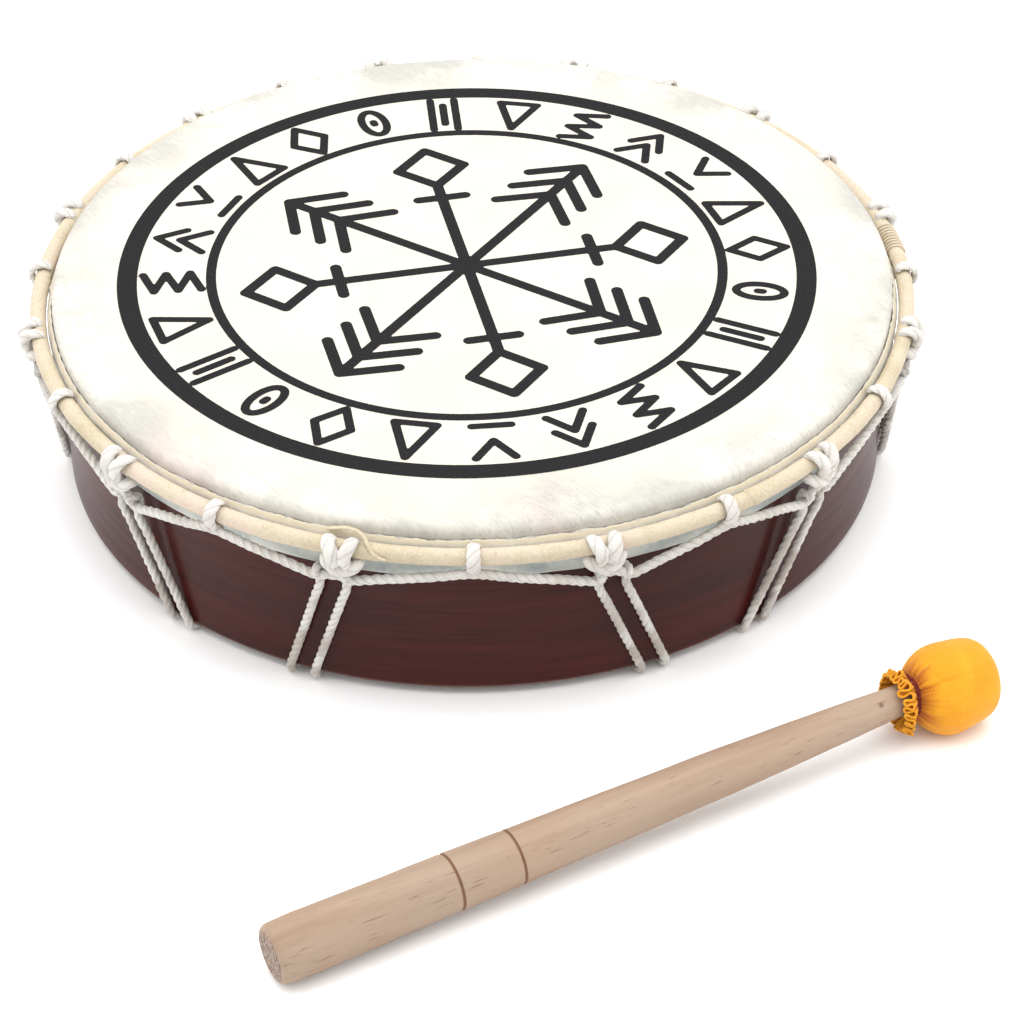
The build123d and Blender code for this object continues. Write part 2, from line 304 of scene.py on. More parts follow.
# ==== material helpers ========================================================================
class Shader:
    """A material's node tree, with short ways to add and join nodes."""

    def __init__(self, name):
        self.material = bpy.data.materials.new(name)
        self.material.use_nodes = True
        self.tree = self.material.node_tree
        self.surface = self.tree.nodes["Principled BSDF"]

    def node(self, kind, inputs=(), **settings):
        made = self.tree.nodes.new("ShaderNode" + kind)
        for key, value in settings.items():
            setattr(made, key, value)
        for key, value in dict(inputs).items():
            self.put(made.inputs[key], value)
        return made

    def put(self, socket, value):
        if isinstance(value, bpy.types.NodeSocket):
            self.tree.links.new(value, socket)
        else:
            socket.default_value = value

    def set(self, **sockets):
        names = {"color": "Base Color", "roughness": "Roughness", "normal": "Normal",
                 "specular": "Specular IOR Level", "coat": "Coat Weight",
                 "coat_roughness": "Coat Roughness", "sheen": "Sheen Weight",
                 "sheen_roughness": "Sheen Roughness", "metallic": "Metallic",
                 "subsurface": "Subsurface Weight", "radius": "Subsurface Radius",
                 "subsurface_scale": "Subsurface Scale", "coat_normal": "Coat Normal"}
        for key, value in sockets.items():
            self.put(self.surface.inputs[names[key]], value)
        return self.material

    def place(self):
        return self.node("TexCoord").outputs["Object"]

    def along(self):
        return self.node("UVMap", uv_map="along").outputs["UV"]

    def split(self, vector):
        return self.node("SeparateXYZ", {0: vector}).outputs

    def join(self, x, y, z):
        return self.node("CombineXYZ", {0: x, 1: y, 2: z}).outputs[0]

    def math(self, operation, *values, clamp=False):
        made = self.node("Math", enumerate(values), operation=operation, use_clamp=clamp)
        return made.outputs[0]

    def scaled(self, vector, x, y, z):
        made = self.node("VectorMath", {0: vector, 1: (x, y, z)}, operation="MULTIPLY")
        return made.outputs[0]

    def noise(self, vector, scale, detail=3.0, roughness=0.5, distortion=0.0):
        made = self.node("TexNoise", {"Vector": vector, "Scale": scale, "Detail": detail,
                                      "Roughness": roughness, "Distortion": distortion})
        return made.outputs["Fac"]

    def ramp(self, fac, stops):
        made = self.node("ValToRGB", {0: fac})
        elements = made.color_ramp.elements
        while len(elements) < len(stops):
            elements.new(0.5)
        for element, (place, color) in zip(elements, stops):
            element.position = place
            element.color = color if len(color) == 4 else (*color, 1.0)
        return made.outputs["Color"]

    def range(self, value, low, high, to_low=0.0, to_high=1.0):
        made = self.node("MapRange", {0: value, 1: low, 2: high, 3: to_low, 4: to_high})
        made.interpolation_type = "SMOOTHSTEP"
        return made.outputs[0]

    def mix(self, fac, a, b, blend="MIX"):
        made = self.node("Mix", data_type="RGBA", blend_type=blend)
        self.put(made.inputs[0], fac)
        self.put(made.inputs[6], a if isinstance(a, bpy.types.NodeSocket) else (*a, 1.0))
        self.put(made.inputs[7], b if isinstance(b, bpy.types.NodeSocket) else (*b, 1.0))
        return made.outputs[2]

    def bump(self, height, distance, strength=1.0, normal=None):
        made = self.node("Bump", {"Height": height, "Distance": distance, "Strength": strength})
        if normal is not None:
            self.put(made.inputs["Normal"], normal)
        return made.outputs[0]

    def cylinder(self):
        """(angle round Z times the frame's radius, height, radius), in metres; seam at the back."""
        x, y, z = self.split(self.place())
        angle = self.math("ARCTAN2", x, self.math("MULTIPLY", y, -1.0))
        radius = self.math("SQRT", self.math("ADD", self.math("MULTIPLY", x, x),
                                             self.math("MULTIPLY", y, y)))
        return self.math("MULTIPLY", angle, FRAME_R), z, radius


# ==== materials ===============================================================================
def varnished_wood():
    """Red-brown stained wood with grain round the frame, under a gloss varnish."""
    s = Shader("varnished_wood")
    around, height, radius = s.cylinder()
    grain_place = s.join(s.math("MULTIPLY", around, 14.0), s.math("MULTIPLY", height, 330.0),
                         s.math("MULTIPLY", radius, 330.0))
    grain = s.noise(grain_place, 1.0, detail=6.0, roughness=0.62, distortion=0.5)
    streak_place = s.join(s.math("MULTIPLY", around, 5.0), s.math("MULTIPLY", height, 60.0), radius)
    streaks = s.noise(streak_place, 1.0, detail=3.0)
    patches = s.noise(s.join(around, s.math("MULTIPLY", height, 2.0), radius), 9.0, detail=2.0)
    base = s.ramp(grain, [(0.3, (0.024, 0.0032, 0.0032)), (0.5, (0.038, 0.0052, 0.0046)),
                          (0.72, (0.054, 0.0080, 0.0058))])
    base = s.mix(s.range(streaks, 0.4, 0.75, 0.0, 0.55), base, (0.074, 0.011, 0.0070))
    base = s.mix(s.range(patches, 0.42, 0.7, 0.0, 0.6), base, (0.026, 0.0070, 0.0070))
    # painted highlight: a lighter band just above the frame's bottom edge, standing for the floor's light
    # reflected on the rounded edge
    edge = s.range(height, FRAME_BASE + 2.2 * MM, FRAME_BASE + 0.8 * MM)
    base = s.mix(s.math("MULTIPLY", edge, 0.55), base, (0.20, 0.10, 0.07))
    bump = s.bump(grain, 0.05 * MM, 0.5)
    return s.set(color=base, roughness=s.range(grain, 0.2, 0.8, 0.42, 0.32), normal=bump,
                 specular=0.08, coat=0.17, coat_roughness=0.11)


def hide():
    """Scraped hide: cream, mottled and greyer at the edge, with hairs left in patches."""
    s = Shader("hide")
    place = s.place()
    _, height, radius = s.cylinder()
    mottle = s.noise(place, 26.0, detail=5.0, roughness=0.6)
    cloud = s.noise(place, 9.0, detail=3.0, roughness=0.55, distortion=0.6)
    fine = s.noise(place, 420.0, detail=4.0, roughness=0.6)
    reach = s.math("ADD", radius, s.math("MULTIPLY", s.math("SUBTRACT", cloud, 0.5), 0.09))
    rim = s.range(reach, 0.158, 0.192)
    cream = s.mix(s.range(mottle, 0.3, 0.7), (0.585, 0.548, 0.470), (0.605, 0.575, 0.505))
    grey = s.mix(s.range(mottle, 0.38, 0.62), (0.405, 0.398, 0.365), (0.600, 0.580, 0.525))
    color = s.mix(s.math("MULTIPLY", rim, 0.8), cream, grey)
    slanted = s.node("VectorRotate", {"Vector": place, "Angle": 0.8}).outputs["Vector"]
    streaky = s.noise(s.scaled(slanted, 170.0, 800.0, 300.0), 1.0, detail=4.0, roughness=0.65)
    streaks = s.math("MULTIPLY", s.range(streaky, 0.50, 0.64), rim)
    color = s.mix(s.math("MULTIPLY", streaks, 0.42), color, (0.37, 0.355, 0.335))
    pale = s.math("MULTIPLY", s.range(streaky, 0.48, 0.36), rim)
    color = s.mix(s.math("MULTIPLY", pale, 0.15), color, (0.66, 0.65, 0.61))
    blush = s.math("MULTIPLY", s.range(s.noise(place, 14.0, detail=3.0), 0.54, 0.68), rim)
    color = s.mix(s.math("MULTIPLY", blush, 0.28), color, (0.60, 0.44, 0.41))
    x, y, _ = s.split(place)
    front_right = s.range(s.math("SUBTRACT", s.math("MULTIPLY", x, 0.8), y), 0.135, 0.215)
    left_back = s.math("MULTIPLY", s.range(s.math("SUBTRACT", 0.0, x), 0.10, 0.17), 0.35)
    patch = s.math("MAXIMUM", front_right, left_back)
    patch = s.math("MULTIPLY", patch, s.range(s.noise(place, 15.0, detail=2.0), 0.36, 0.58))
    stubble = s.noise(s.scaled(slanted, 420.0, 1500.0, 800.0), 1.0, detail=3.0, roughness=0.6)
    hairs = s.math("MULTIPLY", s.math("MULTIPLY", s.range(stubble, 0.58, 0.70), patch), rim)
    color = s.mix(s.math("MULTIPLY", hairs, 0.6), color, (0.20, 0.17, 0.165))
    # fold band below the hoop: the hide's own flesh side, painted greyer and bluer with the shade that
    # falls under the hoop
    on_fold = s.math("MULTIPLY", s.range(radius, HIDE_OUTER_R - 0.9 * MM, HIDE_OUTER_R - 0.5 * MM),
                     s.range(height, HOOP_Z - 1 * MM, HOOP_Z - 3 * MM))
    shaded_flesh = s.mix(s.range(mottle, 0.38, 0.62), (0.36, 0.405, 0.40), (0.58, 0.59, 0.55))
    shaded_flesh = s.mix(s.range(fine, 0.45, 0.7, 0.0, 0.4), shaded_flesh, (0.68, 0.68, 0.63))
    color = s.mix(on_fold, color, shaded_flesh)
    torn = s.math("MULTIPLY", s.range(radius, HIDE_OUTER_R - 0.9 * MM, HIDE_OUTER_R - 0.5 * MM),
                  s.range(height, HOOP_Z + 1 * MM, HOOP_Z + 3 * MM))
    color = s.mix(torn, color, (0.66, 0.585, 0.44))
    rough = s.math("ADD", s.math("MULTIPLY", fine, 0.5), s.math("MULTIPLY", mottle, 0.5))
    return s.set(color=color, roughness=0.62, specular=0.3, normal=s.bump(rough, 0.18 * MM, 0.45))


def wound_hide():
    """Strip of yellow-cream hide that is wound on the hoop."""
    s = Shader("wound_hide")
    place = s.place()
    tone = s.noise(place, 30.0, detail=4.0, roughness=0.6)
    weave = s.noise(place, 900.0, detail=3.0, roughness=0.7)
    flecks = s.noise(place, 260.0, detail=3.0, roughness=0.7)
    color = s.ramp(tone, [(0.3, (0.46, 0.385, 0.255)), (0.5, (0.535, 0.455, 0.33)),
                          (0.7, (0.565, 0.455, 0.37))])
    color = s.mix(s.range(flecks, 0.55, 0.72, 0.0, 0.4), color, (0.36, 0.26, 0.16))
    color = s.mix(s.range(weave, 0.4, 0.7, 0.0, 0.45), color, (0.66, 0.60, 0.50))
    return s.set(color=color, roughness=0.7, specular=0.25, normal=s.bump(weave, 0.25 * MM, 0.7))


def soft_cord():
    """Off-white cotton cord: painted shade between its strands, with fine yarns and loose fibres."""
    s = Shader("soft_cord")
    along, around, _ = s.split(s.along())
    phase = s.math("SUBTRACT", around, along)
    strand = s.math("ABSOLUTE", s.math("COSINE", s.math("MULTIPLY", phase, math.pi * 3)))
    yarn = s.math("SINE", s.math("MULTIPLY", s.math("ADD", phase, s.math("MULTIPLY", along, 2.2)),
                                 FULL * 9))
    fibre = s.noise(s.place(), 1500.0, detail=3.0, roughness=0.7)
    dark_blotches = s.noise(s.place(), 60.0, detail=3.0)
    # painted shade: darker colour in the grooves between the strands
    color = s.mix(s.range(strand, 0.0, 0.55), (0.45, 0.42, 0.38), (0.63, 0.61, 0.575))
    color = s.mix(s.range(fibre, 0.4, 0.7, 0.0, 0.5), color, (0.71, 0.695, 0.665))
    # darker blotches on the cord, stronger towards the bottom
    _, _, z = s.split(s.place())
    low = s.range(z, 70 * MM, 20 * MM, 0.25, 0.85)
    color = s.mix(s.math("MULTIPLY", s.range(dark_blotches, 0.40, 0.62), low), color, (0.37, 0.325, 0.285))
    height = s.math("ADD", s.math("MULTIPLY", yarn, 0.35), fibre)
    return s.set(color=color, roughness=0.85, specular=0.2, sheen=0.25, sheen_roughness=0.5,
                 normal=s.bump(height, 0.22 * MM, 0.8))


def ink():
    """Matt black screen print that has sunk a little into the hide."""
    s = Shader("ink")
    place = s.place()
    wear = s.noise(place, 700.0, detail=3.0, roughness=0.7)
    broad = s.noise(place, 40.0, detail=3.0)
    color = s.mix(s.range(wear, 0.35, 0.75), (0.012, 0.012, 0.013), (0.019, 0.019, 0.020))
    color = s.mix(s.range(broad, 0.4, 0.7, 0.0, 0.5), color, (0.016, 0.015, 0.016))
    return s.set(color=color, roughness=0.8, specular=0.1, normal=s.bump(wear, 0.08 * MM, 0.4))


def beater_wood():
    """Bare pale hardwood: fine brown pores along the stick and burned grooves."""
    s = Shader("beater_wood")
    place = s.place()
    x, _, _ = s.split(place)
    warped = s.scaled(place, 6.0, 100.0, 100.0)
    figure = s.noise(warped, 1.0, detail=4.0, roughness=0.6, distortion=0.4)
    pores = s.noise(s.scaled(place, 90.0, 1100.0, 1100.0), 1.0, detail=3.0, roughness=0.6)
    pore_patch = s.noise(s.scaled(place, 12.0, 60.0, 60.0), 1.0, detail=3.0)
    tone = s.noise(place, 22.0, detail=2.0)
    color = s.ramp(figure, [(0.3, (0.275, 0.180, 0.122)), (0.5, (0.335, 0.232, 0.162)),
                            (0.72, (0.395, 0.285, 0.205))])
    color = s.mix(s.range(tone, 0.4, 0.7, 0.0, 0.5), color, (0.345, 0.262, 0.195))
    dark = s.math("MULTIPLY", s.range(pores, 0.60, 0.70), s.range(pore_patch, 0.42, 0.6))
    color = s.mix(s.math("MULTIPLY", dark, 0.7), color, (0.17, 0.10, 0.06))
    knot_away = s.node("VectorMath", {0: place, 1: KNOT_AT}, operation="DISTANCE").outputs["Value"]
    color = s.mix(s.range(knot_away, 1.9 * MM, 0.9 * MM, 0.0, 0.9), color, (0.10, 0.06, 0.04))
    burn = 0.0
    for groove in STICK_GROOVES:
        off = s.math("ABSOLUTE", s.math("SUBTRACT", x, groove * MM))
        near = s.range(off, 0.85 * MM, 0.35 * MM)
        burn = near if burn == 0.0 else s.math("MAXIMUM", burn, near)
    color = s.mix(s.math("MULTIPLY", burn, 0.85), color, (0.14, 0.055, 0.022))
    end = s.range(x, 0.7 * MM, 0.2 * MM)
    rings = s.noise(s.scaled(place, 40.0, 900.0, 500.0), 1.0, detail=4.0, roughness=0.7)
    grain_end = s.mix(s.range(rings, 0.4, 0.62), (0.13, 0.085, 0.06), (0.38, 0.285, 0.23))
    color = s.mix(end, color, grain_end)
    rough = s.math("ADD", s.math("MULTIPLY", pores, 0.8), s.math("MULTIPLY", end, rings))
    return s.set(color=color, roughness=0.62, specular=0.3, normal=s.bump(rough, 0.3 * MM, 0.7))


def golden_cloth():
    """Fine ribbed stretch cloth, golden yellow, darker towards the binding."""
    s = Shader("golden_cloth")
    place = s.place()
    x, y, z = s.split(place)
    angle = s.math("ARCTAN2", z, y)
    rib = s.math("SINE", s.math("MULTIPLY", angle, 150.0))
    knit = s.math("SINE", s.math("MULTIPLY", x, FULL / (0.95 * MM)))
    cloth = s.math("ADD", s.math("MULTIPLY", rib, 0.5), s.math("MULTIPLY", knit, 0.5))
    tone = s.noise(place, 90.0, detail=3.0)
    fibre = s.noise(place, 1800.0, detail=2.0)
    color = s.mix(s.range(tone, 0.35, 0.7), (0.70, 0.285, 0.0095), (0.76, 0.335, 0.014))
    # darker red-brown towards the binding: painted shade in the pleats by the gather, and a stain there
    gathers = s.noise(s.join(s.math("MULTIPLY", angle, 5.0), s.math("MULTIPLY", x, 40.0), 0.0), 1.0)
    near = s.range(s.math("SUBTRACT", s.math("MULTIPLY", gathers, 15 * MM), x), 0.0, 9.0 * MM)
    past = s.range(x, -2.2 * MM, -0.6 * MM)
    near = s.math("MULTIPLY", near, past)
    color = s.mix(s.math("MULTIPLY", near, 0.85), color, (0.30, 0.032, 0.006))
    color = s.mix(s.range(fibre, 0.5, 0.8, 0.0, 0.4), color, (0.83, 0.44, 0.045))
    height = s.math("ADD", cloth, fibre)
    return s.set(color=color, roughness=0.8, specular=0.25, sheen=0.12, sheen_roughness=0.45,
                 normal=s.bump(height, 0.15 * MM, 0.7))


def dark_thread():
    """Dark red-brown sewing thread."""
    s = Shader("dark_thread")
    twist = s.noise(s.place(), 1600.0, detail=2.0)
    color = s.mix(s.range(twist, 0.4, 0.65), (0.095, 0.010, 0.006), (0.19, 0.024, 0.014))
    return s.set(color=color, roughness=0.7, specular=0.2, normal=s.bump(twist, 0.15 * MM, 0.8))


def ring_steel():
    """Plain steel ring with fine drawing marks."""
    s = Shader("ring_steel")
    marks = s.noise(s.scaled(s.place(), 60.0, 60.0, 900.0), 1.0, detail=4.0)
    color = s.mix(s.range(marks, 0.3, 0.7), (0.42, 0.42, 0.43), (0.60, 0.60, 0.61))
    return s.set(color=color, metallic=1.0, roughness=s.range(marks, 0.3, 0.7, 0.28, 0.42),
                 normal=s.bump(marks, 0.05 * MM, 0.4))


def cane():
    """Bent cane of the hoop, under its wrapping."""
    s = Shader("cane")
    grain = s.noise(s.scaled(s.place(), 40.0, 40.0, 700.0), 1.0, detail=4.0)
    color = s.mix(s.range(grain, 0.3, 0.7), (0.36, 0.24, 0.11), (0.55, 0.40, 0.22))
    return s.set(color=color, roughness=0.5, normal=s.bump(grain, 0.1 * MM, 0.5))


def felt():
    """Wool stuffing of the beater's head."""
    s = Shader("felt")
    wool = s.noise(s.place(), 600.0, detail=5.0, roughness=0.7)
    color = s.mix(s.range(wool, 0.3, 0.7), (0.60, 0.57, 0.50), (0.78, 0.75, 0.68))
    return s.set(color=color, roughness=0.95, sheen=0.4, normal=s.bump(wool, 0.4 * MM, 1.0))


def studio_floor():
    s = Shader("studio_floor")
    tone = s.noise(s.place(), 3.0, detail=2.0)
    color = s.mix(s.range(tone, 0.3, 0.7), (0.955, 0.955, 0.955), (0.965, 0.963, 0.96))
    return s.set(color=color, roughness=0.9, specular=0.0)


WOOD = varnished_wood()
HIDE = hide()
WOUND = wound_hide()
CORD = soft_cord()
INK = ink()
STICK = beater_wood()
CLOTH = golden_cloth()
THREAD = dark_thread()


# ==== drum ====================================================================================
def turned_mesh(rows, segments, place):
    """Vertices of an outline turned round Z; place(row, angle in degrees) gives radius and z."""
    verts = []
    for row in range(rows):
        for k in range(segments):
            angle = 360 * k / segments
            radius, z = place(row, angle)
            verts.append(polar(radius, angle, z))
    return verts


def arc_points(centre, radius, start, end, count):
    """Points (r, z) along an arc, with its angles in degrees."""
    return [(centre[0] + radius * math.cos(math.radians(start + (end - start) * i / count)),
             centre[1] + radius * math.sin(math.radians(start + (end - start) * i / count)))
            for i in range(count + 1)]


def make_frame():
    """The wooden frame, with rounded edges and the slight unevenness of a bent board."""
    wall = 7.0 * MM
    small, large = 1.5 * MM, 4.0 * MM
    inner = FRAME_R - wall
    outline = arc_points((FRAME_R - small, FRAME_BASE + small), small, -90, 0, 5)
    outline += [(FRAME_R, FRAME_BASE + (FRAME_TOP - FRAME_BASE) * k / 12) for k in range(1, 11)]
    outline += arc_points((FRAME_R - large, FRAME_TOP - large), large, 0, 90, 8)
    outline += arc_points((inner + small, FRAME_TOP - small), small, 90, 180, 4)
    outline += [(inner, FRAME_TOP - (FRAME_TOP - FRAME_BASE) * k / 6) for k in range(1, 6)]
    outline += arc_points((inner + small, FRAME_BASE + small), small, 180, 270, 4)

    def place(row, angle):
        r, z = outline[row]
        a = math.radians(angle)
        r += 0.12 * MM * wobble(2.5 * math.cos(a), 2.5 * math.sin(a), z * 30)
        return r, z

    segments = 512
    verts = turned_mesh(len(outline), segments, place)
    faces = grid_faces(len(outline), segments, close_rows=True)
    build("frame_wood", verts, faces, WOOD, "drum", "frame_shell")


def hide_centre_line():
    """The hide's outline (r, z) from the middle of the head to its cut edge, and its layers."""
    top = HEAD_TOP - HIDE_T / 2
    bend = 3.6 * MM
    fold = 0.9 * MM
    fold_z = FOLD_BASE + HIDE_T / 2 + fold
    flat_end = HIDE_SIDE_R - bend
    line = [(flat_end * k / 44, top) for k in range(1, 44)]
    line += arc_points((flat_end, top - bend), bend, 90, 0, 10)
    line += [(HIDE_SIDE_R, top - bend + (fold_z - top + bend) * k / 8) for k in range(1, 8)]
    line += arc_points((HIDE_SIDE_R + fold, fold_z), fold, 180, 360, 8)
    line += [(HIDE_OUTER_R, fold_z + (HIDE_EDGE_TOP - fold_z) * k / 20) for k in range(1, 21)]
    return line


def make_hide():
    """Hide head: flat on the frame, down its side, folded up and roughly cut above the hoop."""
    line = hide_centre_line()
    normals = []
    for i, (r, z) in enumerate(line):
        before = line[max(i - 1, 0)]
        after = line[min(i + 1, len(line) - 1)]
        along = Vector((after[0] - before[0], after[1] - before[1])).normalized()
        normals.append((-along.y, along.x))
    segments = 1440
    fold_start = next(i for i, (r, z) in enumerate(line) if r > HIDE_SIDE_R + 1 * MM)

    def place(row, angle):
        outer_side = row < len(line)
        i = row if outer_side else 2 * len(line) - 1 - row
        r, z = line[i]
        half = HIDE_T / 2 if outer_side else -HIDE_T / 2
        a = math.radians(angle)
        x, y = math.cos(a), math.sin(a)
        if i >= fold_start:
            share = (z - FOLD_BASE) / (HIDE_EDGE_TOP - FOLD_BASE)
            low = max(0.0, 1 - share * 3)
            high = max(0.0, (share - 0.6) / 0.4)
            z += 0.55 * MM * low * wobble(9 * x, 9 * y, 4.0)
            r += 0.22 * MM * (1 - high) * wobble(24 * x, 24 * y, z * 160)
            r += 1.1 * MM * math.exp(-((z - HOOP_Z) / (2.4 * MM)) ** 2)
            rag = 0.7 * wobble(8 * x, 8 * y, 1.0) + 0.6 * wobble(30 * x, 30 * y, 2.0)
            rag += 0.5 * wobble(95 * x, 95 * y, 3.0)
            shred = max(0.0, wobble(150 * x, 150 * y, 9.0) - 0.45)
            z += high * MM * (rag + 0.4 + 2.2 * shred)
            lean = 1.25 + 0.2 * wobble(14 * x, 14 * y, 6.0)
            tip = max(0.0, (share - 0.7) / 0.3)
            r -= tip ** 1.5 * MM * lean
            r += max(0.0, tip - 0.6) * MM * (0.6 + 1.6 * wobble(50 * x, 50 * y, 7.0) + 4.0 * shred)
            half *= 1 - 0.5 * high
        elif r < HIDE_SIDE_R - 6 * MM:
            z += 0.10 * MM * wobble(x * r * 22, y * r * 22, 5.0)
        nr, nz = normals[i]
        return max(r + nr * half, 0.0), z + nz * half

    rows = 2 * len(line)
    verts = turned_mesh(rows, segments, place)
    faces = grid_faces(rows, segments)
    top = len(verts)
    verts.append(Vector((0, 0, HEAD_TOP)))
    verts.append(Vector((0, 0, HEAD_TOP - HIDE_T)))
    for k in range(segments):
        faces.append((top, (k + 1) % segments, k)[::-1])
        last = (rows - 1) * segments
        faces.append((top + 1, last + k, last + (k + 1) % segments)[::-1])
    faces = [face[::-1] for face in faces]
    build("hide_head", verts, faces, HIDE, "drum", "drum_head")


def make_hoop():
    """Hoop wound with a strip of hide: each turn's edge makes a low step across it."""
    random.seed(11)
    seams = []
    angle = random.uniform(0, 10)
    while angle < 352:
        seams.append((angle, random.uniform(-5, 5) * MM, random.uniform(0.2, 0.4) * MM))
        angle += random.uniform(9, 22)
    segments, around = 2400, 24
    verts = []
    for k in range(segments):
        a = 360 * k / segments
        x, y = math.cos(math.radians(a)), math.sin(math.radians(a))
        for j in range(around):
            b = FULL * j / around
            r = WRAP_R - 0.30 * MM
            r += 0.12 * MM * wobble(30 * x, 30 * y, math.cos(b) * 0.7)
            r += 0.05 * MM * wobble(140 * x, 140 * y, 3 * b)
            for seam, slant, lip in seams:
                off = math.radians((a - seam + 180) % 360 - 180) * HOOP_R - slant * math.sin(b)
                if 0 <= off < 12 * MM:
                    r += lip * math.exp(-off / (3.5 * MM))
                elif -1.2 * MM < off < 0:
                    r -= 0.12 * MM
            verts.append(polar(HOOP_R + r * math.cos(b), a, HOOP_Z + r * math.sin(b)))
    faces = grid_faces(segments, around, close_rows=True)
    build("hoop_winding", verts, faces, WOUND, "drum", "hoop_wrap")


def make_splice():
    """Binding over the hoop's splice: turns of cord side by side."""
    low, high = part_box("hoop_splice_binding")
    start = math.degrees(math.atan2(low.y, high.x))
    end = math.degrees(math.atan2(high.y, low.x))
    radius = WRAP_R + 0.15 * MM
    turns = 9
    points = []
    for k in range(turns * 16 + 1):
        share = k / (turns * 16)
        b = FULL * turns * share
        angle = start + (end - start) * share
        points.append(polar(HOOP_R + radius * math.cos(b), angle, HOOP_Z + radius * math.sin(b)))
    strand = cord_mesh(points, 0.72 * MM, step=0.5 * MM, around=10, pitch=3 * MM, groove=0.08)
    cord_piece("splice_binding", [strand], WOUND, "drum", "hoop_splice_binding")


# ==== print on the head =======================================================================
PRINT_CENTRE = Vector((-2.4, 0.0)) * MM
PRINT_R = 157.0 * MM
PRINT_LEAN = 12.0          # degrees that the star's first arm leans to the left
GRID = 0.65 * MM


def bent(points, closed=False):
    """A stroke's segments between its points."""
    ends = points[1:] + points[:1] if closed else points[1:]
    return list(zip(points, ends))


def ring_of(x, y, radius, count=28, start=0.0, sweep=360.0):
    """Points round a circle or along an arc."""
    steps = count if sweep < 360 else count - 1
    return [(x + radius * math.cos(math.radians(start + sweep * k / count)),
             y + radius * math.sin(math.radians(start + sweep * k / count)))
            for k in range(steps + 1)]


def mark_strokes(kind):
    """One of eight plain marks, in a cell from -1 to 1 across and 0 to 1 outwards."""
    if kind == 0:
        return bent([(0, 0.02), (0.62, 0.5), (0, 0.98), (-0.62, 0.5)], closed=True)
    if kind == 1:
        return bent([(-0.6, 0.08), (0, 0.52), (0.6, 0.08)]) + bent([(-0.6, 0.48), (0, 0.92), (0.6, 0.48)])
    if kind == 2:
        return bent([(-0.42, 0), (-0.42, 1)]) + bent([(0, 0.18), (0, 0.82)]) + bent([(0.42, 0), (0.42, 1)])
    if kind == 3:
        return bent([(-0.66, 0.08), (0.66, 0.08), (0, 0.95)], closed=True)
    if kind == 4:
        return bent([(-0.5, 0.02), (0.5, 0.2), (-0.5, 0.4), (0.5, 0.6), (-0.5, 0.8), (0.5, 0.98)])
    if kind == 5:
        return bent(ring_of(0, 0.5, 0.4), closed=True) + bent([(0, 0.46), (0, 0.54)])
    if kind == 6:
        return (bent([(0.6, 0.92), (0, 0.48), (-0.6, 0.92)]) + bent([(-0.6, 0.1), (0.6, 0.1)]))
    return bent([(-0.66, 0.92), (0.66, 0.92), (0, 0.05)], closed=True)


def arm_end(kind):
    """Plain end of one of the star's arms: distances along the arm and across it, in radii."""
    if kind == 0:
        return (bent([(0.44, 0), (0.54, 0.10), (0.64, 0), (0.54, -0.10)], closed=True)
                + bent([(0.37, -0.07), (0.37, 0.07)]))
    return (bent([(0.52, -0.12), (0.63, 0), (0.52, 0.12)]) + bent([(0.43, -0.12), (0.54, 0), (0.43, 0.12)])
            + bent([(0.34, -0.12), (0.45, 0), (0.34, 0.12)]))


def print_strokes():
    """Every stroke of the print: (start, end, width), in metres from the print's centre."""
    strokes = []
    for outer, inner in ((1.0, 0.943), (0.747, 0.718)):
        middle = (outer + inner) / 2 * PRINT_R
        circle = ring_of(0, 0, middle, 240)
        strokes += [(a, b, (outer - inner) * PRINT_R) for a, b in bent(circle, closed=True)]
    count = 24
    for k in range(count):
        heading = math.radians(360 * (k + 0.35) / count)
        for a, b in mark_strokes((k * 3) % 8):
            ends = []
            for across, out in (a, b):
                radius = (0.758 + 0.172 * out) * PRINT_R
                turn = heading - across * 0.088 * PRINT_R / radius
                ends.append((radius * math.cos(turn), radius * math.sin(turn)))
            strokes.append((ends[0], ends[1], 0.0245 * PRINT_R))
    for k in range(8):
        heading = math.radians(90 + PRINT_LEAN + 45 * k)
        out = (math.cos(heading), math.sin(heading))
        reach = (0.44, 0.62)[k % 2]
        parts = [((0, 0), (reach, 0))] + arm_end(k % 2)
        for a, b in parts:
            ends = [((p * out[0] - q * out[1]) * PRINT_R, (p * out[1] + q * out[0]) * PRINT_R)
                    for p, q in (a, b)]
            strokes.append((ends[0], ends[1], 0.033 * PRINT_R))
    return strokes


def ink_field():
    """Distance from the nearest stroke's edge on a square grid; negative inside the ink."""
    count = int(2 * (PRINT_R + 2 * MM) / GRID) + 1
    axis = (np.arange(count) - (count - 1) / 2) * GRID
    field = np.full((count, count), 1.0)
    for (ax, ay), (bx, by), width in print_strokes():
        reach = width / 2 + 2 * GRID
        i0, i1 = np.searchsorted(axis, (min(ax, bx) - reach, max(ax, bx) + reach))
        j0, j1 = np.searchsorted(axis, (min(ay, by) - reach, max(ay, by) + reach))
        x, y = np.meshgrid(axis[i0:i1], axis[j0:j1], indexing="ij")
        dx, dy = bx - ax, by - ay
        share = np.clip(((x - ax) * dx + (y - ay) * dy) / max(dx * dx + dy * dy, 1e-12), 0, 1)
        away = np.hypot(x - ax - share * dx, y - ay - share * dy) - width / 2
        field[i0:i1, j0:j1] = np.minimum(field[i0:i1, j0:j1], away)
    near = np.argwhere(np.abs(field) < 1.5 * GRID)
    for i, j in near:
        field[i, j] += 0.10 * MM * wobble(axis[i] * 900, axis[j] * 900)
    return axis, field


